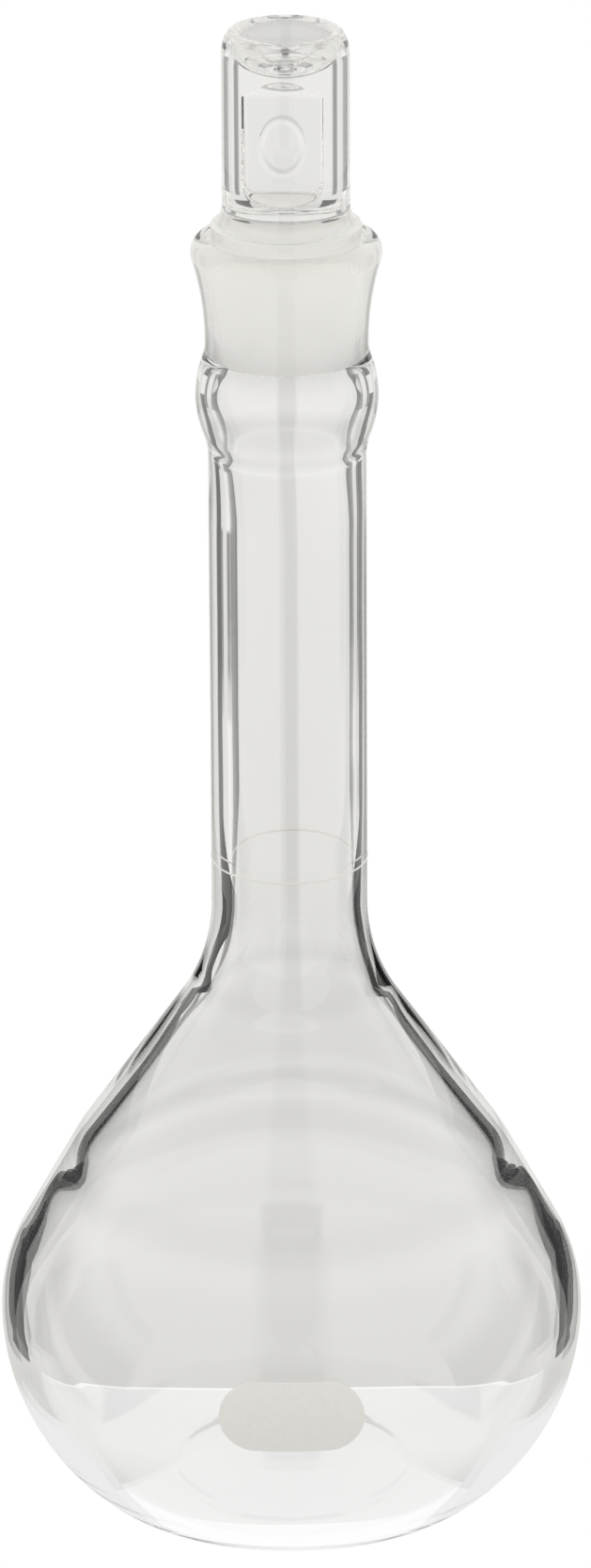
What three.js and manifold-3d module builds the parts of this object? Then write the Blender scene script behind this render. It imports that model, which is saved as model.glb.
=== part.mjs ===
// Volumetric flask: 500 mL, thick glass, wide neck, with a ground-glass stopper.
// Millimetres, +Z up. The origin is on the axis, at the plane the flask stands on.
// The marking spot faces -Y.
import * as THREE from 'three';
import { mergeVertices } from 'three/addons/utils/BufferGeometryUtils.js';
import Module from 'manifold-3d';

// Glass walls
const BULB_WALL = 3.65;
const NECK_WALL = 3.0;

// Foot: a flat ring to stand on, round a shallow push-up
const PUSH_UP_HEIGHT = 2.5;
const FOOT_INNER_RADIUS = 23.5;
const FOOT_OUTER_RADIUS = 27.5;
const KNUCKLE_RADIUS = 19;

// Bulb: each bend is an arc, given by its radius and its angle in degrees
const BULB_RADIUS = 54.3;
const BELLY_ARC = 42.8;
const UPPER_BELLY = { radius: 29, angle: 28.6 };
const SHOULDER_LENGTH = 19.3;
const HIP = { radius: 49, angle: 6.2 };
const THROAT_LENGTH = 31.7;
const THROAT_ARC = 35.5;

// Heights where the bulb, the neck tube and the socket are sealed together
const BULB_SEAL_HEIGHT = 101.6;
const SOCKET_SEAL_HEIGHT = 204.5;

// Graduation line and marking spot: thin fired marks just off the glass
const MARK_GAP = 0.03;
const MARK_THICKNESS = 0.12;
const LINE_HEIGHT = 126.8;
const LINE_WIDTH = 0.4;
const SPOT_HEIGHT = 38.2;
const SPOT_WIDTH = 26.8;
const SPOT_TALL = 13.4;

// Ground joint: 1 mm in 10 on the diameter, so 1 in 20 on the radius
const JOINT_TAPER = 1 / 20;
const MOUTH_RADIUS = 13.5;
const MOUTH_HEIGHT = 244.7;
const GROUND_END_HEIGHT = 223.4;
const JOINT_GAP = 0.05;

// Socket outside: a swelling above the seal, a waist, and a flared lip
const SWELL_FOOT = { radius: 13, angle: 21 };
const SWELL = { radius: 19.6, angle: 41.7 };
const WAIST = { radius: 8, angle: 20.7 };
const FLARE = { radius: 56, angle: 16.2 };
const LIP_SIDE = { radius: 5.2, angle: 16.2 };
const LIP_RADIUS = 2.5;
const LIP_RISE = 1.2; // the top of the lip above the ground mouth
const SWELL_BORE = { radius: 13.5, height: 216 };

// Stopper
const PLUG_BOTTOM = 222.6;
const PLUG_TOP = 247.6;
const PLUG_EDGE = 1.2;
const PLUG_DIMPLE = 1;
const COLLAR_EDGE = { width: 0.4, height: 0.6 };
const STEM_BOTTOM = 252.6;
const HEAD_RADIUS = 11.4;
const HEAD_TOP = 283.9;
const RIM_WIDTH = 2.2;
const RIM_DROP = 4.6;
const DISH_RADIUS = 8;
const DISH_EDGE_DROP = 1.5;
const DISH_DEPTH = 7.8;
const FLAT_DISTANCE = 8.86;
const FLAT_BOTTOM = 256.4;
const FLAT_TOP = 274.1;
const TOP_LEDGE = 3.2;
const FOOT_LEDGE = 2;
const RING_HEIGHT = 264.9;
const RING_WIDTH = 8.5;
const RING_TALL = 11.1;
const RING_BAND = 1.1;
const RING_RELIEF = 0.4;
const STOPPER_TURN = -4;

const AROUND = 48;
const BEND_STEP = 9; // degrees; a mark on the glass uses a finer step, so it never dips into it
const radians = THREE.MathUtils.degToRad;

const wasm = await Module();
wasm.setup();

// A profile line in (radius, height), drawn forward with straights and tangent bends.
class Profile {
  constructor(radius, height, heading, bendStep = BEND_STEP) {
    this.points = [new THREE.Vector2(radius, height)];
    this.heading = radians(heading);
    this.bendStep = bendStep;
  }
  get end() {
    return this.points[this.points.length - 1];
  }
  lineTo(radius, height) {
    this.points.push(new THREE.Vector2(radius, height));
    return this;
  }
  straight(length) {
    const { x, y } = this.end;
    return this.lineTo(x + length * Math.cos(this.heading), y + length * Math.sin(this.heading));
  }
  // A positive angle bends to the left.
  bend(radius, angle) {
    const side = Math.sign(angle) * radius;
    const start = this.heading;
    const centreX = this.end.x - side * Math.sin(start);
    const centreY = this.end.y + side * Math.cos(start);
    const steps = Math.max(2, Math.ceil(Math.abs(angle) / this.bendStep));
    for (let i = 1; i <= steps; i++) {
      this.heading = start + (radians(angle) * i) / steps;
      this.lineTo(centreX + side * Math.sin(this.heading), centreY - side * Math.cos(this.heading));
    }
    return this;
  }
  // An S-curve that leaves and arrives along the axis direction.
  swellTo(radius, height, steps = 6) {
    const { x, y } = this.end;
    for (let i = 1; i <= steps; i++) {
      const t = i / steps;
      const eased = (1 - Math.cos(Math.PI * t)) / 2;
      this.lineTo(x + (radius - x) * eased, y + (height - y) * t);
    }
    return this;
  }
  // A quarter ellipse to a point; it starts along the axis when upright, and outward when not.
  cornerTo(radius, height, upright, steps = 4) {
    const { x, y } = this.end;
    for (let i = 1; i <= steps; i++) {
      const angle = (Math.PI / 2) * (i / steps);
      const early = Math.sin(angle);
      const late = 1 - Math.cos(angle);
      this.lineTo(
        x + (radius - x) * (upright ? late : early),
        y + (height - y) * (upright ? early : late),
      );
    }
    return this;
  }
}

function crossing(points, height) {
  const i = points.findIndex((p) => p.y > height);
  const [a, b] = [points[i - 1], points[i]];
  return { i, point: new THREE.Vector2(THREE.MathUtils.mapLinear(height, a.y, b.y, a.x, b.x), height) };
}

// The start of a line, up to a height above everything before it.
function upTo(points, height) {
  const { i, point } = crossing(points, height);
  return [...points.slice(0, i), point];
}

function between(points, low, high) {
  const { i, point } = crossing(points, low);
  return [point, ...upTo(points.slice(i), high)];
}

function radiusAt(points, height) {
  return crossing(points, height).point.x;
}

// The side of the flask from the middle of its foot to the top of its neck, set in by
// the given depth of glass: 0 is the outside.
function flaskSide(inset, bendStep = BEND_STEP) {
  const dome = 2 * Math.atan(PUSH_UP_HEIGHT / FOOT_INNER_RADIUS);
  const domeAngle = THREE.MathUtils.radToDeg(dome);
  const footEase = KNUCKLE_RADIUS / 2;
  const domeRadius = FOOT_INNER_RADIUS / Math.sin(dome) - footEase;
  const bellyAxis = BULB_RADIUS - BELLY_ARC;
  const tilt = Math.acos((FOOT_OUTER_RADIUS - bellyAxis) / (BELLY_ARC - KNUCKLE_RADIUS));
  const bellyAngle = THREE.MathUtils.radToDeg(tilt);
  return new Profile(0, PUSH_UP_HEIGHT + inset, 0, bendStep)
    .bend(domeRadius + inset, -domeAngle)
    .bend(footEase - inset, domeAngle)
    .straight(FOOT_OUTER_RADIUS - FOOT_INNER_RADIUS)
    .bend(KNUCKLE_RADIUS - inset, 90 - bellyAngle)
    .bend(BELLY_ARC - inset, bellyAngle)
    .bend(UPPER_BELLY.radius - inset, UPPER_BELLY.angle)
    .straight(SHOULDER_LENGTH)
    .bend(HIP.radius - inset, HIP.angle)
    .straight(THROAT_LENGTH)
    .bend(THROAT_ARC + inset, -UPPER_BELLY.angle - HIP.angle)
    .straight(SOCKET_SEAL_HEIGHT).points;
}

function standUp(geometry) {
  return geometry.rotateX(Math.PI / 2);
}

function lathe(points) {
  return standUp(new THREE.LatheGeometry(points, AROUND));
}

// A lathe ring whose outline closes on itself, from its outer and inner rising lines.
function latheRing(outer, inner) {
  const loop = [...outer, ...inner.slice().reverse()];
  loop.push(outer[0].clone());
  return lathe(loop);
}

function bulb() {
  const outer = upTo(flaskSide(0), BULB_SEAL_HEIGHT);
  const inner = upTo(flaskSide(BULB_WALL), BULB_SEAL_HEIGHT);
  return lathe([...outer, ...inner.reverse()]);
}

function neckTube() {
  const outer = between(flaskSide(0), BULB_SEAL_HEIGHT, SOCKET_SEAL_HEIGHT);
  const inner = between(flaskSide(NECK_WALL), BULB_SEAL_HEIGHT, SOCKET_SEAL_HEIGHT);
  return latheRing(outer, inner);
}

function neckRadius() {
  return radiusAt(flaskSide(0), SOCKET_SEAL_HEIGHT - 1);
}

function groundSocket() {
  const outer = new Profile(neckRadius(), SOCKET_SEAL_HEIGHT, 90)
    .bend(SWELL_FOOT.radius, -SWELL_FOOT.angle)
    .bend(SWELL.radius, SWELL.angle)
    .bend(WAIST.radius, -WAIST.angle)
    .bend(FLARE.radius, -FLARE.angle)
    .bend(LIP_SIDE.radius, LIP_SIDE.angle);
  const lipSide = outer.end;
  const lipTop = lipSide.x - LIP_RADIUS;
  outer.cornerTo(lipTop, MOUTH_HEIGHT + LIP_RISE, true);
  const smallEnd = MOUTH_RADIUS - (MOUTH_HEIGHT - GROUND_END_HEIGHT) * JOINT_TAPER;
  const inner = new Profile(neckRadius() - NECK_WALL, SOCKET_SEAL_HEIGHT, 90)
    .swellTo(SWELL_BORE.radius, SWELL_BORE.height)
    .swellTo(smallEnd, GROUND_END_HEIGHT)
    .lineTo(MOUTH_RADIUS, MOUTH_HEIGHT);
  return latheRing(outer.points, inner.points);
}

function graduationLine() {
  const inside = neckRadius() + MARK_GAP;
  const outside = inside + MARK_THICKNESS;
  const low = LINE_HEIGHT - LINE_WIDTH / 2;
  const high = LINE_HEIGHT + LINE_WIDTH / 2;
  const rise = (radius) => [new THREE.Vector2(radius, low), new THREE.Vector2(radius, high)];
  return latheRing(rise(outside), rise(inside));
}

// A thin patch with round ends that follows the glass: two skins joined along their rims.
function markingSpot() {
  const rows = 8;
  const columns = 12;
  const side = flaskSide(0, 1);
  const roundEnd = SPOT_TALL / 2;
  const vertices = [];
  for (const lift of [MARK_GAP + MARK_THICKNESS, MARK_GAP]) {
    for (let row = 0; row <= rows; row++) {
      const rise = -Math.cos((Math.PI * row) / rows) * roundEnd;
      const radius = radiusAt(side, SPOT_HEIGHT + rise) + lift;
      const reach = SPOT_WIDTH / 2 - roundEnd + Math.sqrt(Math.max(0, roundEnd ** 2 - rise ** 2));
      for (let column = 0; column <= columns; column++) {
        const azimuth = ((2 * column) / columns - 1) * (reach / BULB_RADIUS);
        vertices.push(radius * Math.sin(azimuth), -radius * Math.cos(azimuth), SPOT_HEIGHT + rise);
      }
    }
  }
  const index = [];
  const skin = (rows + 1) * (columns + 1);
  const at = (layer, row, column) => layer * skin + row * (columns + 1) + column;
  const quad = (a, b, c, d) => index.push(a, b, c, a, c, d);
  for (let row = 0; row < rows; row++) {
    for (let column = 0; column < columns; column++) {
      const corners = [[row, column], [row, column + 1], [row + 1, column + 1], [row + 1, column]];
      quad(...corners.map(([r, c]) => at(0, r, c)));
      quad(...corners.reverse().map(([r, c]) => at(1, r, c)));
    }
    quad(at(0, row, 0), at(0, row + 1, 0), at(1, row + 1, 0), at(1, row, 0));
    quad(at(0, row + 1, columns), at(0, row, columns), at(1, row, columns), at(1, row + 1, columns));
  }
  for (let column = 0; column < columns; column++) {
    quad(at(0, 0, column + 1), at(0, 0, column), at(1, 0, column), at(1, 0, column + 1));
    quad(at(0, rows, column), at(0, rows, column + 1), at(1, rows, column + 1), at(1, rows, column));
  }
  const geometry = new THREE.BufferGeometry();
  geometry.setAttribute('position', new THREE.Float32BufferAttribute(vertices, 3));
  geometry.setIndex(index);
  return geometry;
}

function toSolid(geometry) {
  geometry.deleteAttribute('normal');
  geometry.deleteAttribute('uv');
  const merged = mergeVertices(geometry, 1e-4);
  return new wasm.Manifold(
    new wasm.Mesh({
      numProp: 3,
      vertProperties: new Float32Array(merged.attributes.position.array),
      triVerts: new Uint32Array(merged.index.array),
    }),
  );
}

function fromSolid(solid) {
  const { vertProperties, triVerts } = solid.getMesh();
  const geometry = new THREE.BufferGeometry();
  geometry.setAttribute('position', new THREE.BufferAttribute(vertProperties, 3));
  geometry.setIndex(new THREE.BufferAttribute(triVerts, 1));
  return geometry;
}

// The round blank: ground plug, flared collar, and head with a dished top.
function stopperBlank() {
  const plugRadius = (height) => MOUTH_RADIUS - JOINT_GAP + (height - MOUTH_HEIGHT) * JOINT_TAPER;
  const foot = plugRadius(PLUG_BOTTOM + PLUG_EDGE);
  const collar = plugRadius(PLUG_TOP);
  return lathe(
    new Profile(0, PLUG_BOTTOM + PLUG_DIMPLE, 0)
      .cornerTo(foot / 2, PLUG_BOTTOM + PLUG_DIMPLE / 2, false, 3)
      .lineTo((foot * 2) / 3, PLUG_BOTTOM)
      .lineTo(foot - PLUG_EDGE, PLUG_BOTTOM)
      .cornerTo(foot, PLUG_BOTTOM + PLUG_EDGE, false)
      .lineTo(collar, PLUG_TOP)
      .cornerTo(collar - COLLAR_EDGE.width, PLUG_TOP + COLLAR_EDGE.height, true, 3)
      .cornerTo(HEAD_RADIUS, STEM_BOTTOM, false)
      .lineTo(HEAD_RADIUS, HEAD_TOP - RIM_DROP)
      .cornerTo(HEAD_RADIUS - RIM_WIDTH, HEAD_TOP, true, 6)
      .cornerTo(DISH_RADIUS, HEAD_TOP - DISH_EDGE_DROP, false, 3)
      .cornerTo(0, HEAD_TOP - DISH_DEPTH, true, 7).points,
  );
}

// What is pressed away in front of the flat; a sloping ledge is left above and below it.
function flatCutter() {
  const outside = 2 * HEAD_RADIUS;
  const depth = HEAD_RADIUS - FLAT_DISTANCE;
  const slope = (outside - FLAT_DISTANCE) / depth;
  const outline = new THREE.Shape();
  outline.moveTo(FLAT_DISTANCE, FLAT_BOTTOM);
  outline.lineTo(FLAT_DISTANCE, FLAT_TOP);
  outline.lineTo(outside, FLAT_TOP + TOP_LEDGE * slope);
  outline.lineTo(outside, FLAT_BOTTOM - FOOT_LEDGE * slope);
  const cutter = new THREE.ExtrudeGeometry(outline, { depth: 2 * outside, bevelEnabled: false });
  return cutter.translate(0, 0, -outside).rotateX(Math.PI / 2).rotateZ(-Math.PI / 2);
}

// The raised oval ring on the front flat.
function ovalRing() {
  const bevel = RING_BAND / 4;
  const outer = new THREE.Shape();
  outer.absellipse(0, 0, RING_WIDTH / 2 - bevel, RING_TALL / 2 - bevel, 0, 2 * Math.PI);
  const hole = new THREE.Path();
  const band = RING_BAND - bevel;
  hole.absellipse(0, 0, RING_WIDTH / 2 - band, RING_TALL / 2 - band, 0, 2 * Math.PI);
  outer.holes.push(hole);
  const ring = new THREE.ExtrudeGeometry(outer, {
    depth: 2 * RING_RELIEF - 2 * bevel,
    bevelThickness: bevel,
    bevelSize: bevel,
    bevelSegments: 2,
    curveSegments: 14,
  });
  return standUp(ring).translate(0, -FLAT_DISTANCE + RING_RELIEF - bevel, RING_HEIGHT);
}

function stopper() {
  const turn = radians(STOPPER_TURN);
  return fromSolid(
    toSolid(stopperBlank())
      .subtract(toSolid(flatCutter().rotateZ(turn)))
      .add(toSolid(ovalRing().rotateZ(turn))),
  );
}

const materials = {
  clear_glass: new THREE.MeshStandardMaterial({
    color: 0xe9ecea, roughness: 0.03, metalness: 0, transparent: true, opacity: 0.35,
  }),
  white_enamel: new THREE.MeshStandardMaterial({ color: 0xdcdbd7, roughness: 0.6, metalness: 0 }),
};

function piece(name, geometry, material) {
  const mesh = new THREE.Mesh(geometry, materials[material]);
  mesh.name = name;
  return mesh;
}

const flask = new THREE.Group();
flask.add(piece('bulb', bulb(), 'clear_glass'));
flask.add(piece('neck_tube', neckTube(), 'clear_glass'));
flask.add(piece('ground_socket', groundSocket(), 'clear_glass'));
flask.add(piece('graduation_line', graduationLine(), 'white_enamel'));
flask.add(piece('marking_spot', markingSpot(), 'white_enamel'));

const group = new THREE.Group();
group.add(flask);
group.add(piece('stopper', stopper(), 'clear_glass'));

export default group;
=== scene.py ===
"""Volumetric flask with a ground-glass stopper, on a pale floor in soft studio light."""

import math

import bpy
from mathutils import Matrix, Vector, noise


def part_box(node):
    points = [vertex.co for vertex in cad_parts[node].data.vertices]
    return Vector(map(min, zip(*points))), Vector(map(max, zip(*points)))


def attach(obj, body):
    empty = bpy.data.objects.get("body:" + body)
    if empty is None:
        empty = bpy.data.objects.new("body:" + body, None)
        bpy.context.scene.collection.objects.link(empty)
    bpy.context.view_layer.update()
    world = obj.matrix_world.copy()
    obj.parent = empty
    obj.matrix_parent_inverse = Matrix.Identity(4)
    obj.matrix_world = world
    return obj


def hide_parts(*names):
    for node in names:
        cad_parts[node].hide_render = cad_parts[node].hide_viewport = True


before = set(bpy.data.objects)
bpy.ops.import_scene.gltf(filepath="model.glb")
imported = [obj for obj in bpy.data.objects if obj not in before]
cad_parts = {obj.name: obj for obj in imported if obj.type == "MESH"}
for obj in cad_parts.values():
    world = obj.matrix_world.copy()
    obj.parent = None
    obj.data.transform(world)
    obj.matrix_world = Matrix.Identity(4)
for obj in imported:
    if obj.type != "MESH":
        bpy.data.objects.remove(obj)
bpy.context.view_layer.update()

MM = 0.001  # shapes are worked out in millimetres


def span(node):
    """A CAD node's lowest and highest corners, in millimetres."""
    low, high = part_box(node)
    return low / MM, high / MM


# --- Sizes, in millimetres ------------------------------------------------------------

BULB_LOW, BULB_HIGH = span("bulb")
NECK_LOW, NECK_HIGH = span("neck_tube")
SOCKET_LOW, SOCKET_HIGH = span("ground_socket")
LINE_LOW, LINE_HIGH = span("graduation_line")
SPOT_LOW, SPOT_HIGH = span("marking_spot")
STOPPER_LOW, STOPPER_HIGH = span("stopper")

# Foot and bulb: each bend is a radius and an angle in degrees
PUSH_UP = 2.5
FOOT_INNER = 23.5
FOOT_OUTER = 27.5
KNUCKLE = 19.0
BULB_RADIUS = BULB_HIGH.x
BELLY = 42.8
UPPER_BELLY = (29.0, 28.6)
SHOULDER = 19.3
HIP = (49.0, 6.2)
THROAT = 31.7
THROAT_ARC = 35.5

# Glass thickness, and the thick ridges left inside where the pieces are sealed
BULB_WALL = 3.65
NECK_WALL = 3.0
WALL_CHANGE = 80.0
RIDGES = ((64.0, 0.45, 4.0), (101.6, 0.2, 2.4), (205.8, 0.08, 1.4))  # height, depth, reach
BORE_SHIFT = 0.45
OUTER_LUMPS = (0.03, 30)  # depth and spacing of the waviness of a blown surface
INNER_LUMPS = (0.10, 22)
NECK_LUMPS = 0.04

# Socket
SWELL_FOOT = (13.0, 21.0)
SWELL = (19.6, 41.7)
WAIST = (8.0, 20.7)
FLARE = (56.0, 16.2)
LIP_SIDE = (5.2, 16.2)
LIP = 2.5
SWELL_BORE = (13.5, 216.0)  # radius and height at the widest place inside
TAPER = 1 / 20
MOUTH_RADIUS = 13.5
MOUTH_HEIGHT = 244.7
GROUND_END = 223.4
WARM_BAND = (3.5, 1.5)  # below the mouth, where the ground surface turns warmer

# Stopper
PLUG_TOP = 247.6
COLLAR_EDGE = (0.4, 0.6)
PLUG_GROUND_TOP = MOUTH_HEIGHT + 0.4
PLUG_EDGE = 1.2
PLUG_DIMPLE = 1.0
JOINT_GAP = 0.05
STEM_BOTTOM = 252.6
HEAD_RADIUS = 11.4
HEAD_ROWS = 130
RIM_WIDTH = 2.2
RIM_DROP = 4.6
DISH_RADIUS = 8.0
DISH_EDGE_DROP = 1.5
DISH_DEPTH = 7.8
FLAT_DISTANCE = 8.65
FLAT_REACH = 6.95
FLAT_WALL = 1.8  # the slope of the short walls beside the flat
FLAT_EDGE = 0.3  # how softly the flat's edges are rounded
FLAT_BOTTOM = 256.4
FLAT_TOP = 274.1
FLAT_CORNER = 2.2
TOP_LEDGE = 3.2
FOOT_LEDGE = 2.0
RING_HEIGHT = 264.9
RING_SIZE = (8.5, 11.1)
RING_BAND = 1.1
RING_RELIEF = 0.4
STOPPER_TURN = math.radians(-4)

# Marks on the glass
MARK_GAP = 0.03
MARK_TOP = 0.12
LINE_EDGE = 0.06
SPOT_WIDE = 26.8
SPOT_GRID = (40, 64)  # rows and columns of its mesh

AROUND = 192
FINE = 1.5  # degrees between points of a bend, and millimetres along a straight

# What a face of a glass piece is, in the order of its materials
CLEAR, GROUND, SEAL = 0, 1, 2


# --- Profile lines --------------------------------------------------------------------


class Profile:
    """A line in (radius, height), drawn forward with straights and tangent bends."""

    def __init__(self, radius, height, heading):
        self.points = [Vector((radius, height))]
        self.heading = math.radians(heading)

    @property
    def end(self):
        return self.points[-1]

    def straight(self, length):
        start = self.end.copy()
        direction = Vector((math.cos(self.heading), math.sin(self.heading)))
        steps = max(1, round(length / FINE))
        self.points += [start + direction * length * i / steps for i in range(1, steps + 1)]
        return self

    def line_to(self, radius, height):
        start, goal = self.end.copy(), Vector((radius, height))
        steps = max(1, round((goal - start).length / FINE))
        self.points += [start.lerp(goal, i / steps) for i in range(1, steps + 1)]
        return self

    def bend(self, radius, angle):
        """A positive angle bends to the left."""
        side = math.copysign(radius, angle)
        first = self.heading
        centre = self.end + side * Vector((-math.sin(first), math.cos(first)))
        steps = max(2, math.ceil(abs(angle) / FINE))
        for i in range(1, steps + 1):
            self.heading = first + math.radians(angle) * i / steps
            across = Vector((math.sin(self.heading), -math.cos(self.heading)))
            self.points.append(centre + side * across)
        return self

    def swell_to(self, radius, height, steps=16):
        """An S-curve that leaves and arrives along the axis direction."""
        start = self.end.copy()
        for i in range(1, steps + 1):
            t = i / steps
            eased = (1 - math.cos(math.pi * t)) / 2
            self.points.append(
                Vector((start.x + (radius - start.x) * eased, start.y + (height - start.y) * t))
            )
        return self

    def corner_to(self, radius, height, upright, steps=10):
        """A quarter ellipse; it starts along the axis when upright, and outward when not."""
        start = self.end.copy()
        for i in range(1, steps + 1):
            angle = math.pi / 2 * i / steps
            early, late = math.sin(angle), 1 - math.cos(angle)
            along, up = (late, early) if upright else (early, late)
            self.points.append(
                Vector((start.x + (radius - start.x) * along, start.y + (height - start.y) * up))
            )
        return self


def flask_outside():
    """The outer line from the middle of the foot to the socket seal."""
    dome = 2 * math.atan(PUSH_UP / FOOT_INNER)
    dome_edge = KNUCKLE / 2
    dome_radius = FOOT_INNER / math.sin(dome) - dome_edge
    belly_axis = BULB_RADIUS - BELLY
    tilt = math.degrees(math.acos((FOOT_OUTER - belly_axis) / (BELLY - KNUCKLE)))
    line = Profile(0, PUSH_UP, 0)
    line.bend(dome_radius, -math.degrees(dome)).bend(dome_edge, math.degrees(dome))
    line.straight(FOOT_OUTER - FOOT_INNER)
    line.bend(KNUCKLE, 90 - tilt).bend(BELLY, tilt)
    line.bend(*UPPER_BELLY).straight(SHOULDER).bend(*HIP).straight(THROAT)
    line.bend(THROAT_ARC, -UPPER_BELLY[1] - HIP[1])
    line.straight(NECK_HIGH.z - line.end.y)
    return line.points


def ease(value, low, high):
    """Goes smoothly from 0 at the low value to 1 at the high one."""
    t = min(1, max(0, (value - low) / (high - low)))
    return t * t * (3 - 2 * t)


def ridges_at(height):
    """The low ridges left inside by the mould and by the seals."""
    return sum(
        depth * math.exp(-(((height - middle) / reach) ** 2)) for middle, depth, reach in RIDGES
    )


def wall_at(height):
    """How thick the glass is at a height on the outside."""
    wall = BULB_WALL + (NECK_WALL - BULB_WALL) * ease(height, WALL_CHANGE, NECK_LOW.z + 8)
    return wall + ridges_at(height)


def flask_inside(outside):
    """The inner line: each outer point set in by the wall."""
    inner = []
    for i, point in enumerate(outside):
        before = outside[max(0, i - 1)]
        after = outside[min(len(outside) - 1, i + 1)]
        along = (after - before).normalized()
        if i == 0:
            along = Vector((1, 0))
        if i == len(outside) - 1:
            along = Vector((0, 1))
        inner.append(point + Vector((-along.y, along.x)) * wall_at(point.y))
    return inner


def cut(points, height):
    """The index of the first point above a height, and the point where the line crosses it."""
    i = next(k for k, p in enumerate(points) if p.y > height)
    a, b = points[i - 1], points[i]
    return i, a.lerp(b, (height - a.y) / (b.y - a.y))


def radius_at(points, height):
    return cut(points, height)[1].x


OUTSIDE = flask_outside()
INSIDE = flask_inside(OUTSIDE)


# --- Meshes ---------------------------------------------------------------------------


def link_mesh(name, vertices, faces):
    mesh = bpy.data.meshes.new(name)
    mesh.from_pydata([tuple(v) for v in vertices], [], faces)
    obj = bpy.data.objects.new(name, mesh)
    bpy.context.scene.collection.objects.link(obj)
    return obj


def unevenness(point, strength, scale):
    """A slow, hand-worked waviness of a glass surface, in millimetres."""
    return strength * noise.noise(point / scale)


def bore_offset(height):
    """The bore is a little off the axis in the neck, as in drawn tube."""
    rise = ease(height, NECK_LOW.z - 12, NECK_LOW.z + 12)
    fall = ease(height, NECK_HIGH.z - 14, NECK_HIGH.z + 4)
    return BORE_SHIFT * rise * (1 - fall)


def revolve(name, outer, inner, finish, shape=None, around=AROUND):
    """A closed mesh from an outer and an inner line, both rising. Where a line starts on the
    axis it closes there, and otherwise the two are joined at the foot by a flat ring.
    finish(height, where) says what a face is; where is "outside", "inside", "top" or "foot"."""
    vertices, faces, kinds = [], [], []

    def ring(point, is_inner):
        if point.x < 1e-6:
            vertices.append((0, 0, point.y * MM))
            return [len(vertices) - 1] * around
        start = len(vertices)
        for k in range(around):
            angle = 2 * math.pi * k / around
            direction = Vector((math.sin(angle), -math.cos(angle), 0))
            place = direction * point.x + Vector((0, 0, point.y))
            if shape:
                place = shape(place, direction, is_inner)
            vertices.append(place * MM)
        return list(range(start, start + around))

    def band(low, high, kind):
        for k in range(around):
            n = (k + 1) % around
            corners = [low[k], low[n], high[n], high[k]]
            kept = [c for i, c in enumerate(corners) if c != corners[i - 1]]
            if len(kept) > 2:
                faces.append(kept)
                kinds.append(kind)

    out_rings = [ring(p, False) for p in outer]
    in_rings = [ring(p, True) for p in inner]
    for i in range(len(outer) - 1):
        band(out_rings[i], out_rings[i + 1], finish(outer[i + 1].y, "outside"))
    for i in range(len(inner) - 1):
        band(in_rings[i + 1], in_rings[i], finish(inner[i + 1].y, "inside"))
    if inner:
        band(out_rings[-1], in_rings[-1], finish(None, "top"))
        if outer[0].x > 1e-6:
            band(in_rings[0], out_rings[0], finish(None, "foot"))

    obj = link_mesh(name, vertices, faces)
    obj.data.polygons.foreach_set("material_index", kinds)
    obj.data.polygons.foreach_set("use_smooth", [True] * len(faces))
    obj.data.update()
    obj.data.set_sharp_from_angle(angle=math.radians(40))
    return obj


def glass_shape(place, direction, is_inner):
    """Bends a point of the flask off its true circle, inside more than outside."""
    if is_inner:
        depth, spacing = INNER_LUMPS
        depth += (NECK_LUMPS - depth) * ease(place.z, NECK_LOW.z, NECK_HIGH.z)
        lump = unevenness(place, depth, spacing)
        place = place + Vector((bore_offset(place.z), 0, 0))
    else:
        lump = unevenness(place + Vector((90, 0, 0)), *OUTER_LUMPS)
    in_joint = ease(place.z, GROUND_END - 8, GROUND_END) if is_inner else 0
    return place + direction * lump * (1 - in_joint)


def make_bulb():
    i, top = cut(OUTSIDE, NECK_LOW.z)
    j, inner_top = cut(INSIDE, NECK_LOW.z)
    outer = OUTSIDE[:i] + [top]
    inner = INSIDE[:j] + [inner_top]

    def finish(height, where):
        return SEAL if where == "top" else CLEAR

    return revolve("bulb_glass", outer, inner, finish, glass_shape)


def make_neck():
    lines = []
    for line in (OUTSIDE, INSIDE):
        i, low = cut(line, NECK_LOW.z)
        rest = [p for p in line[i:] if p.y < NECK_HIGH.z - 1e-4]
        lines.append([low] + rest + [Vector((line[-1].x, NECK_HIGH.z))])

    def finish(height, where):
        return SEAL if where in ("top", "foot") else CLEAR

    return revolve("neck_glass", *lines, finish, glass_shape)


def make_socket():
    neck = OUTSIDE[-1].x
    outer = Profile(neck, SOCKET_LOW.z, 90)
    outer.bend(SWELL_FOOT[0], -SWELL_FOOT[1]).bend(*SWELL).bend(WAIST[0], -WAIST[1])
    outer.bend(FLARE[0], -FLARE[1]).bend(*LIP_SIDE)
    outer.corner_to(outer.end.x - LIP, SOCKET_HIGH.z, True)
    small_end = MOUTH_RADIUS - (MOUTH_HEIGHT - GROUND_END) * TAPER
    inner = Profile(neck - wall_at(SOCKET_LOW.z), SOCKET_LOW.z, 90)
    inner.swell_to(*SWELL_BORE, 32).swell_to(small_end, GROUND_END, 20)
    for point in inner.points[1:]:
        point.x -= ridges_at(point.y)
    inner.line_to(MOUTH_RADIUS, MOUTH_HEIGHT)

    def finish(height, where):
        if where == "foot":
            return SEAL
        return GROUND if where == "inside" and height > GROUND_END + 0.1 else CLEAR

    return revolve("socket_glass", outer.points, inner.points, finish, glass_shape)


def soft_min(a, b, blend):
    """The smaller of two numbers, rounded off where they are nearly the same."""
    h = min(1, max(0, 0.5 + 0.5 * (b - a) / blend))
    return b + (a - b) * h - blend * h * (1 - h)


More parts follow.
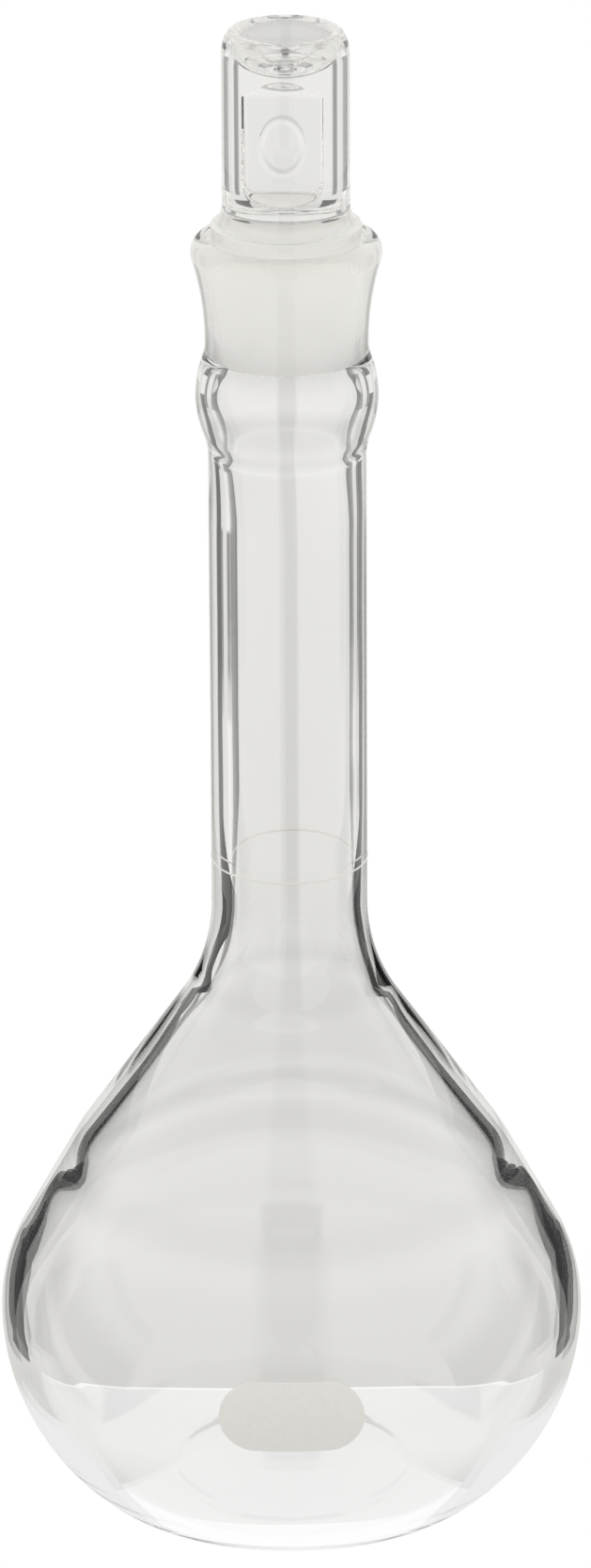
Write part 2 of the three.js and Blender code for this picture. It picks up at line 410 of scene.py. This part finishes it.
def flat_distance(across, height):
    """How far from the axis the flat at the front of the head lies; it ends in sloping ledges."""
    into_corner = min(FLAT_CORNER, max(0, abs(across) - FLAT_REACH + FLAT_CORNER))
    corner = FLAT_CORNER - math.sqrt(FLAT_CORNER**2 - into_corner**2)
    depth = HEAD_RADIUS - FLAT_DISTANCE
    below = max(0, FLAT_BOTTOM + corner - height) * depth / FOOT_LEDGE
    above = max(0, height - FLAT_TOP) * depth / TOP_LEDGE
    beside = max(0, abs(across) - FLAT_REACH) * FLAT_WALL
    return FLAT_DISTANCE + max(below, above, beside)


def ring_relief(across, height):
    """The raised oval ring on the flat."""
    x = across / (RING_SIZE[0] / 2 - RING_BAND / 2)
    z = (height - RING_HEIGHT) / (RING_SIZE[1] / 2 - RING_BAND / 2)
    distance = (math.hypot(x, z) - 1) * RING_SIZE[0] / 2
    return RING_RELIEF * math.exp(-((distance / (RING_BAND * 0.42)) ** 4))


def stopper_shape(place, direction, is_inner):
    """Cuts the flat into the front of the round head."""
    radius = Vector((place.x, place.y)).length
    low, high = FLAT_BOTTOM - FOOT_LEDGE - 0.5, FLAT_TOP + TOP_LEDGE + 0.5
    turned = Matrix.Rotation(-STOPPER_TURN, 3, "Z") @ direction
    facing = -turned.y
    if not low < place.z < high or radius < HEAD_RADIUS * 0.95 or facing < 0.3:
        return place
    across = turned.x * FLAT_DISTANCE / facing
    flat = flat_distance(across, place.z) + ring_relief(across, place.z)
    return direction * soft_min(radius, flat / facing, FLAT_EDGE) + Vector((0, 0, place.z))


def make_stopper():
    bottom, top = STOPPER_LOW.z, STOPPER_HIGH.z

    def plug_radius(height):
        return MOUTH_RADIUS - JOINT_GAP + (height - MOUTH_HEIGHT) * TAPER

    foot = plug_radius(bottom + PLUG_EDGE)
    collar = plug_radius(PLUG_TOP)
    line = Profile(0, bottom + PLUG_DIMPLE, 0)
    line.corner_to(foot / 2, bottom + PLUG_DIMPLE / 2, False, 6)
    line.line_to(foot * 0.7, bottom).line_to(foot - PLUG_EDGE, bottom)
    line.corner_to(foot, bottom + PLUG_EDGE, False)
    line.line_to(collar, PLUG_TOP)
    line.corner_to(collar - COLLAR_EDGE[0], PLUG_TOP + COLLAR_EDGE[1], True)
    line.corner_to(HEAD_RADIUS, STEM_BOTTOM, False, 16)
    start = line.end.copy()
    step = (top - RIM_DROP - start.y) / HEAD_ROWS
    line.points += [Vector((HEAD_RADIUS, start.y + step * (i + 1))) for i in range(HEAD_ROWS)]
    line.corner_to(HEAD_RADIUS - RIM_WIDTH, top, True, 16)
    line.corner_to(DISH_RADIUS, top - DISH_EDGE_DROP, False, 8)
    line.corner_to(0, top - DISH_DEPTH, True, 28)

    def finish(height, where):
        return GROUND if bottom + PLUG_EDGE < height < PLUG_GROUND_TOP else CLEAR

    return revolve("stopper_glass", line.points, [], finish, stopper_shape, 2 * AROUND)


def on_glass(azimuth, height, lift):
    """A point just off the outside of the flask; azimuth 0 is the front."""
    radius = radius_at(OUTSIDE, height) + lift
    place = Vector((radius * math.sin(azimuth), -radius * math.cos(azimuth), height))
    return glass_shape(place, Vector((math.sin(azimuth), -math.cos(azimuth), 0)), False) * MM


def make_line():
    """The graduation line: a thin band of enamel all round the neck."""
    low, high = LINE_LOW.z, LINE_HIGH.z
    rows = (
        (MARK_GAP, low),
        (MARK_TOP, low + LINE_EDGE),
        (MARK_TOP, high - LINE_EDGE),
        (MARK_GAP, high),
    )
    vertices = [
        on_glass(2 * math.pi * k / AROUND, height, lift)
        for lift, height in rows
        for k in range(AROUND)
    ]
    faces = []
    for row in range(len(rows)):
        this = row * AROUND
        upper = (row + 1) % len(rows) * AROUND
        for k in range(AROUND):
            n = (k + 1) % AROUND
            faces.append((this + k, this + n, upper + n, upper + k))
    return link_mesh("line_enamel", vertices, faces)


def make_spot():
    """The marking spot: a patch of enamel with round ends that follows the glass."""
    rows, columns = SPOT_GRID
    middle = (SPOT_LOW.z + SPOT_HIGH.z) / 2
    half_tall = (SPOT_HIGH.z - SPOT_LOW.z) / 2
    straight = SPOT_WIDE / 2 - half_tall
    vertices, faces = [], []
    for lift in (MARK_TOP, MARK_GAP):
        for row in range(rows + 1):
            rise = -math.cos(math.pi * row / rows) * half_tall
            reach = straight + math.sqrt(max(0, half_tall**2 - rise**2))
            for column in range(columns + 1):
                azimuth = (2 * column / columns - 1) * reach / BULB_RADIUS
                vertices.append(on_glass(azimuth, middle + rise, lift))
    skin = (rows + 1) * (columns + 1)
    rim = list(range(columns))
    rim += [row * (columns + 1) + columns for row in range(rows)]
    rim += [rows * (columns + 1) + columns - column for column in range(columns)]
    rim += [(rows - row) * (columns + 1) for row in range(rows)]
    for row in range(rows):
        for column in range(columns):
            a = row * (columns + 1) + column
            front = (a, a + 1, a + columns + 2, a + columns + 1)
            faces.append(front)
            faces.append(tuple(skin + corner for corner in reversed(front)))
    for i, a in enumerate(rim):
        b = rim[(i + 1) % len(rim)]
        faces.append((a, skin + a, skin + b, b))
    return link_mesh("spot_enamel", vertices, faces)


# --- Camera, light and stage ----------------------------------------------------------


def make_camera():
    """A long lens, looking down at the flask, framed on its whole height."""
    aim = Vector((0.0012, 0, 0.1407))
    distance = 1.462
    depression = math.radians(21.4)
    roll = math.radians(0.25)
    view_height = 0.2872
    data = bpy.data.cameras.new("camera")
    data.sensor_fit = "VERTICAL"
    data.sensor_height = 24
    data.lens = data.sensor_height * distance / view_height
    data.clip_start = 0.01
    data.clip_end = 100
    obj = bpy.data.objects.new("camera", data)
    bpy.context.scene.collection.objects.link(obj)
    back = Vector((0, -math.cos(depression), math.sin(depression)))
    up_hint = Vector((math.sin(roll), 0, math.cos(roll)))
    side = up_hint.cross(back).normalized()
    up = back.cross(side)
    obj.matrix_world = Matrix.Translation(aim + back * distance) @ Matrix(
        (side, up, back)
    ).transposed().to_4x4()
    bpy.context.scene.camera = obj


def one_shader_material(name, kind):
    """A material that holds one shader and nothing else; returns both."""
    material = bpy.data.materials.new(name)
    material.use_nodes = True
    nodes = material.node_tree.nodes
    nodes.clear()
    shader = nodes.new(kind)
    out = nodes.new("ShaderNodeOutputMaterial")
    material.node_tree.links.new(shader.outputs[0], out.inputs["Surface"])
    return material, shader


def glow_material(name, strength):
    material, glow = one_shader_material(name, "ShaderNodeEmission")
    glow.inputs["Strength"].default_value = strength
    return material


def make_floor():
    """A white floor that sweeps up into a backdrop; only the camera sees it directly."""
    half, sweep = 12.0, 4.0
    line = [(-half, 0)]
    for degrees in range(0, 91, 10):
        angle = math.radians(degrees)
        line.append((half - sweep + sweep * math.sin(angle), sweep - sweep * math.cos(angle)))
    line.append((half, 2 * half))
    vertices = [(x, y, z) for y, z in line for x in (-2 * half, 2 * half)]
    faces = [(2 * i, 2 * i + 1, 2 * i + 3, 2 * i + 2) for i in range(len(line) - 1)]
    floor = link_mesh("floor", vertices, faces)
    floor.data.materials.append(glow_material("floor_white", 1.0))
    floor.visible_diffuse = False
    floor.visible_glossy = False
    floor.visible_transmission = False
    floor.visible_shadow = False
    floor.visible_volume_scatter = False


WARM = (1.0, 0.993, 0.966)  # the colour of the light
FLOOR_LIGHT = 0.5

# Degrees round from straight behind the flask, and how bright the studio is there:
# level with the eye, lower down and higher up
LEVEL_STOPS = (
    (0, 0.75), (34.5, 0.75), (37, 0.25), (41, 0.25), (43, 0.75), (52, 0.75), (55, 0.25),
    (65, 0.25), (69, 0.7), (80, 1.0), (166, 1.0), (168, 0.1), (180, 0.1),
)
LOW_STOPS = ((0, 0.75), (45, 0.75), (60, 1.0), (166, 1.0), (168, 0.1), (180, 0.1))
HIGH_STOPS = ((0, 0.9), (160, 1.0), (168, 0.6), (180, 0.6))


class Nodes:
    """Short ways to add and join shader nodes."""

    def __init__(self, tree):
        self.tree = tree
        tree.nodes.clear()

    def add(self, kind, *inputs, **settings):
        node = self.tree.nodes.new(kind)
        for key, value in settings.items():
            setattr(node, key, value)
        for socket, value in zip(node.inputs, inputs):
            if value is None:
                continue
            if isinstance(value, bpy.types.NodeSocket):
                self.tree.links.new(value, socket)
            else:
                socket.default_value = value
        return node

    def math(self, operation, *inputs):
        return self.add("ShaderNodeMath", *inputs, operation=operation).outputs[0]

    def fade(self, value, start, end, low=0.0, high=1.0):
        node = self.add("ShaderNodeMapRange", value, start, end, low, high)
        return node.outputs[0]

    def blend(self, factor, below, above):
        node = self.add("ShaderNodeMix", factor, data_type="RGBA")
        for name, colour in (("A", below), ("B", above)):
            if isinstance(colour, bpy.types.NodeSocket):
                self.tree.links.new(colour, node.inputs[name])
            else:
                node.inputs[name].default_value = colour
        return node.outputs["Result"]

    def ramp(self, value, stops, tint):
        node = self.add("ShaderNodeValToRGB", value)
        elements = node.color_ramp.elements
        for i, (place, level) in enumerate(stops):
            last = len(stops) - 1
            element = elements[0] if i == 0 else elements[-1] if i == last else None
            if element is None:
                element = elements.new(place)
            element.position = place
            element.color = (*(level * c for c in tint), 1)
        return node.outputs[0]


def make_world():
    world = bpy.data.worlds.new("studio")
    world.use_nodes = True
    bpy.context.scene.world = world
    build = Nodes(world.node_tree)
    direction = build.add("ShaderNodeTexCoord").outputs["Generated"]
    x, y, z = build.add("ShaderNodeSeparateXYZ", direction).outputs
    around = build.math("DIVIDE", build.math("ABSOLUTE", build.math("ARCTAN2", x, y)), math.pi)
    low, level, high = (
        build.ramp(around, [(degrees / 180, light) for degrees, light in stops], WARM)
        for stops in (LOW_STOPS, LEVEL_STOPS, HIGH_STOPS)
    )
    floor = (*(FLOOR_LIGHT * c for c in WARM), 1)
    light = build.blend(build.fade(z, -0.36, -0.35), low, level)
    light = build.blend(build.fade(z, 0.1, 0.4), light, high)
    light = build.blend(build.fade(z, -0.7, -0.85), light, floor)
    rise = build.fade(z, -0.5, -0.25, 0.86, 1.12)
    glow = build.add("ShaderNodeBackground", light, rise)
    build.add("ShaderNodeOutputWorld", glow.outputs[0])


def unseen(obj):
    """Keeps a card out of the picture, so that only the glass sees it."""
    obj.visible_camera = False
    obj.visible_diffuse = False
    obj.visible_shadow = False


# Louvres beside the flask: how far out they stand, how far apart and how deep their slats
# are, and for each its outline seen from the side, in (back, height), and its brightness
LOUVRE_X = 78
LOUVRE_GAP = 0.5
LOUVRE_DEPTH = 1.5
LOUVRES = (
    ("low", [(14, 10), (52, 0), (60, 12), (104, 12), (104, 92), (14, 92)], 0.04),
    ("high", [(104, 68), (172, 68), (172, 172), (88, 195), (88, 92), (104, 92)], 0.1),
)

# Light coming up from under the flask: half width, front and back edge, and strength
GLOW_LEVEL = -0.3
GLOWS = (
    ("under_light", 66, -26, 32, 0.84),
    ("edge_light", 66, 32, 33, 0.97),
    ("front_light", 40, -75, -26, 1.0),
)


def louvres(side, outline):
    """Upright slats that fill an outline: dark from the front, and open from the side."""
    corners, faces = [], []
    edges = list(zip(outline, outline[1:] + outline[:1]))
    near, far = side * LOUVRE_X, side * (LOUVRE_X + LOUVRE_DEPTH)
    y = min(p[0] for p in outline) + LOUVRE_GAP / 2
    while y < max(p[0] for p in outline):
        cuts = [
            a[1] + (b[1] - a[1]) * (y - a[0]) / (b[0] - a[0])
            for a, b in edges
            if min(a[0], b[0]) <= y < max(a[0], b[0])
        ]
        low, high = min(cuts), max(cuts)
        start = len(corners)
        for x, z in ((near, low), (far, low), (far, high), (near, high)):
            corners.append((x * MM, y * MM, z * MM))
        faces.append(range(start, start + 4))
        y += LOUVRE_GAP
    return corners, faces


def make_cards():
    """Dark louvres close on both sides of the flask, and light coming up from under it."""
    for side, name in ((-1, "left"), (1, "right")):
        for part, outline, strength in LOUVRES:
            card = link_mesh("card_" + name + "_" + part, *louvres(side, outline))
            card.data.materials.append(glow_material("card_" + name + "_" + part, strength))
            unseen(card)
    for name, half, front, back, strength in GLOWS:
        plan = ((-half, front), (half, front), (half, back), (-half, back))
        corners = [(x * MM, y * MM, GLOW_LEVEL * MM) for x, y in plan]
        light = link_mesh(name, corners, [(0, 1, 2, 3)])
        light.data.materials.append(glow_material(name + "_glow", strength))
        unseen(light)


# --- Materials ------------------------------------------------------------------------


GLASS_IOR = 1.473
MATT_SHARE = 0.6  # how much of a ground surface scatters light like paper


def new_material(name):
    material = bpy.data.materials.new(name)
    material.use_nodes = True
    nodes = material.node_tree.nodes
    return material, nodes, material.node_tree.links, nodes["Principled BSDF"]


def add_bump(nodes, links, shader, scale, strength, distance, detail=2.0):
    """Gives a shader a noise bump, and returns the noise."""
    coordinates = nodes.new("ShaderNodeTexCoord")
    texture = nodes.new("ShaderNodeTexNoise")
    texture.inputs["Scale"].default_value = scale
    texture.inputs["Detail"].default_value = detail
    bump = nodes.new("ShaderNodeBump")
    bump.inputs["Strength"].default_value = strength
    bump.inputs["Distance"].default_value = distance
    links.new(coordinates.outputs["Object"], texture.inputs["Vector"])
    links.new(texture.outputs["Fac"], bump.inputs["Height"])
    links.new(bump.outputs[0], shader.inputs["Normal"])
    return texture


def clear_glass():
    material, nodes, links, shader = new_material("clear_glass")
    shader.inputs["Base Color"].default_value = (0.991, 0.99, 0.989, 1)
    shader.inputs["Transmission Weight"].default_value = 1
    shader.inputs["Roughness"].default_value = 0.0
    shader.inputs["IOR"].default_value = GLASS_IOR
    add_bump(nodes, links, shader, 45, 0.02, 0.001)
    return material


def ground_glass():
    """Glass ground to a fine matt: it lets light through in every direction."""
    material, nodes, links, shader = new_material("ground_glass")
    shader.inputs["Base Color"].default_value = (1, 1, 1, 1)
    shader.inputs["Transmission Weight"].default_value = 1
    shader.inputs["Roughness"].default_value = 0.5
    shader.inputs["IOR"].default_value = GLASS_IOR
    add_bump(nodes, links, shader, 2500, 0.3, 0.0001)
    coordinates = nodes.new("ShaderNodeTexCoord")
    split = nodes.new("ShaderNodeSeparateXYZ")
    warmth = nodes.new("ShaderNodeMapRange")
    warmth.inputs["From Min"].default_value = (MOUTH_HEIGHT - WARM_BAND[0]) * MM
    warmth.inputs["From Max"].default_value = (MOUTH_HEIGHT - WARM_BAND[1]) * MM
    tint = nodes.new("ShaderNodeMix")
    tint.data_type = "RGBA"
    tint.inputs["A"].default_value = (0.99, 0.99, 0.985, 1)
    tint.inputs["B"].default_value = (0.96, 0.945, 0.915, 1)
    links.new(coordinates.outputs["Object"], split.inputs[0])
    links.new(split.outputs["Z"], warmth.inputs["Value"])
    links.new(warmth.outputs[0], tint.inputs["Factor"])
    diffuse = nodes.new("ShaderNodeBsdfDiffuse")
    through = nodes.new("ShaderNodeBsdfTranslucent")
    links.new(tint.outputs["Result"], diffuse.inputs["Color"])
    links.new(tint.outputs["Result"], through.inputs["Color"])
    matt = nodes.new("ShaderNodeMixShader")
    matt.inputs[0].default_value = 0.5
    links.new(diffuse.outputs[0], matt.inputs[1])
    links.new(through.outputs[0], matt.inputs[2])
    mix = nodes.new("ShaderNodeMixShader")
    mix.inputs[0].default_value = MATT_SHARE
    links.new(shader.outputs[0], mix.inputs[1])
    links.new(matt.outputs[0], mix.inputs[2])
    links.new(mix.outputs[0], nodes["Material Output"].inputs["Surface"])
    return material


def enamel():
    """Thin fired enamel: matt and a little uneven."""
    material, nodes, links, shader = new_material("white_enamel")
    shader.inputs["Roughness"].default_value = 0.55
    texture = add_bump(nodes, links, shader, 900, 0.15, 0.0001, detail=4.0)
    tint = nodes.new("ShaderNodeMix")
    tint.data_type = "RGBA"
    tint.inputs["A"].default_value = (0.76, 0.752, 0.73, 1)
    tint.inputs["B"].default_value = (0.83, 0.822, 0.80, 1)
    links.new(texture.outputs["Fac"], tint.inputs["Factor"])
    links.new(tint.outputs["Result"], shader.inputs["Base Color"])
    return material


def seal():
    """The faces where two glass pieces are fused: light passes straight through."""
    return one_shader_material("fused_seal", "ShaderNodeBsdfTransparent")[0]


# --- The object -----------------------------------------------------------------------

make_camera()
make_floor()
make_world()
make_cards()

glasses = [clear_glass(), ground_glass(), seal()]
enamels = [enamel()]
for obj, body, node, slot, materials in (
    (make_bulb(), "flask", "bulb", "clear_glass", glasses),
    (make_neck(), "flask", "neck_tube", "clear_glass", glasses),
    (make_socket(), "flask", "ground_socket", "ground_glass", glasses),
    (make_line(), "flask", "graduation_line", "white_enamel", enamels),
    (make_spot(), "flask", "marking_spot", "white_enamel", enamels),
    (make_stopper(), "stopper", "stopper", "clear_glass", glasses),
):
    for material in materials:
        obj.data.materials.append(material)
    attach(obj, body)
    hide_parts(node)

scene = bpy.context.scene
scene.view_settings.view_transform = "Standard"
scene.cycles.use_denoising = True
scene.cycles.blur_glossy = 0
scene.cycles.max_bounces = 48
scene.cycles.diffuse_bounces = 32
scene.cycles.transmission_bounces = 32
scene.cycles.glossy_bounces = 16
scene.cycles.transparent_max_bounces = 32
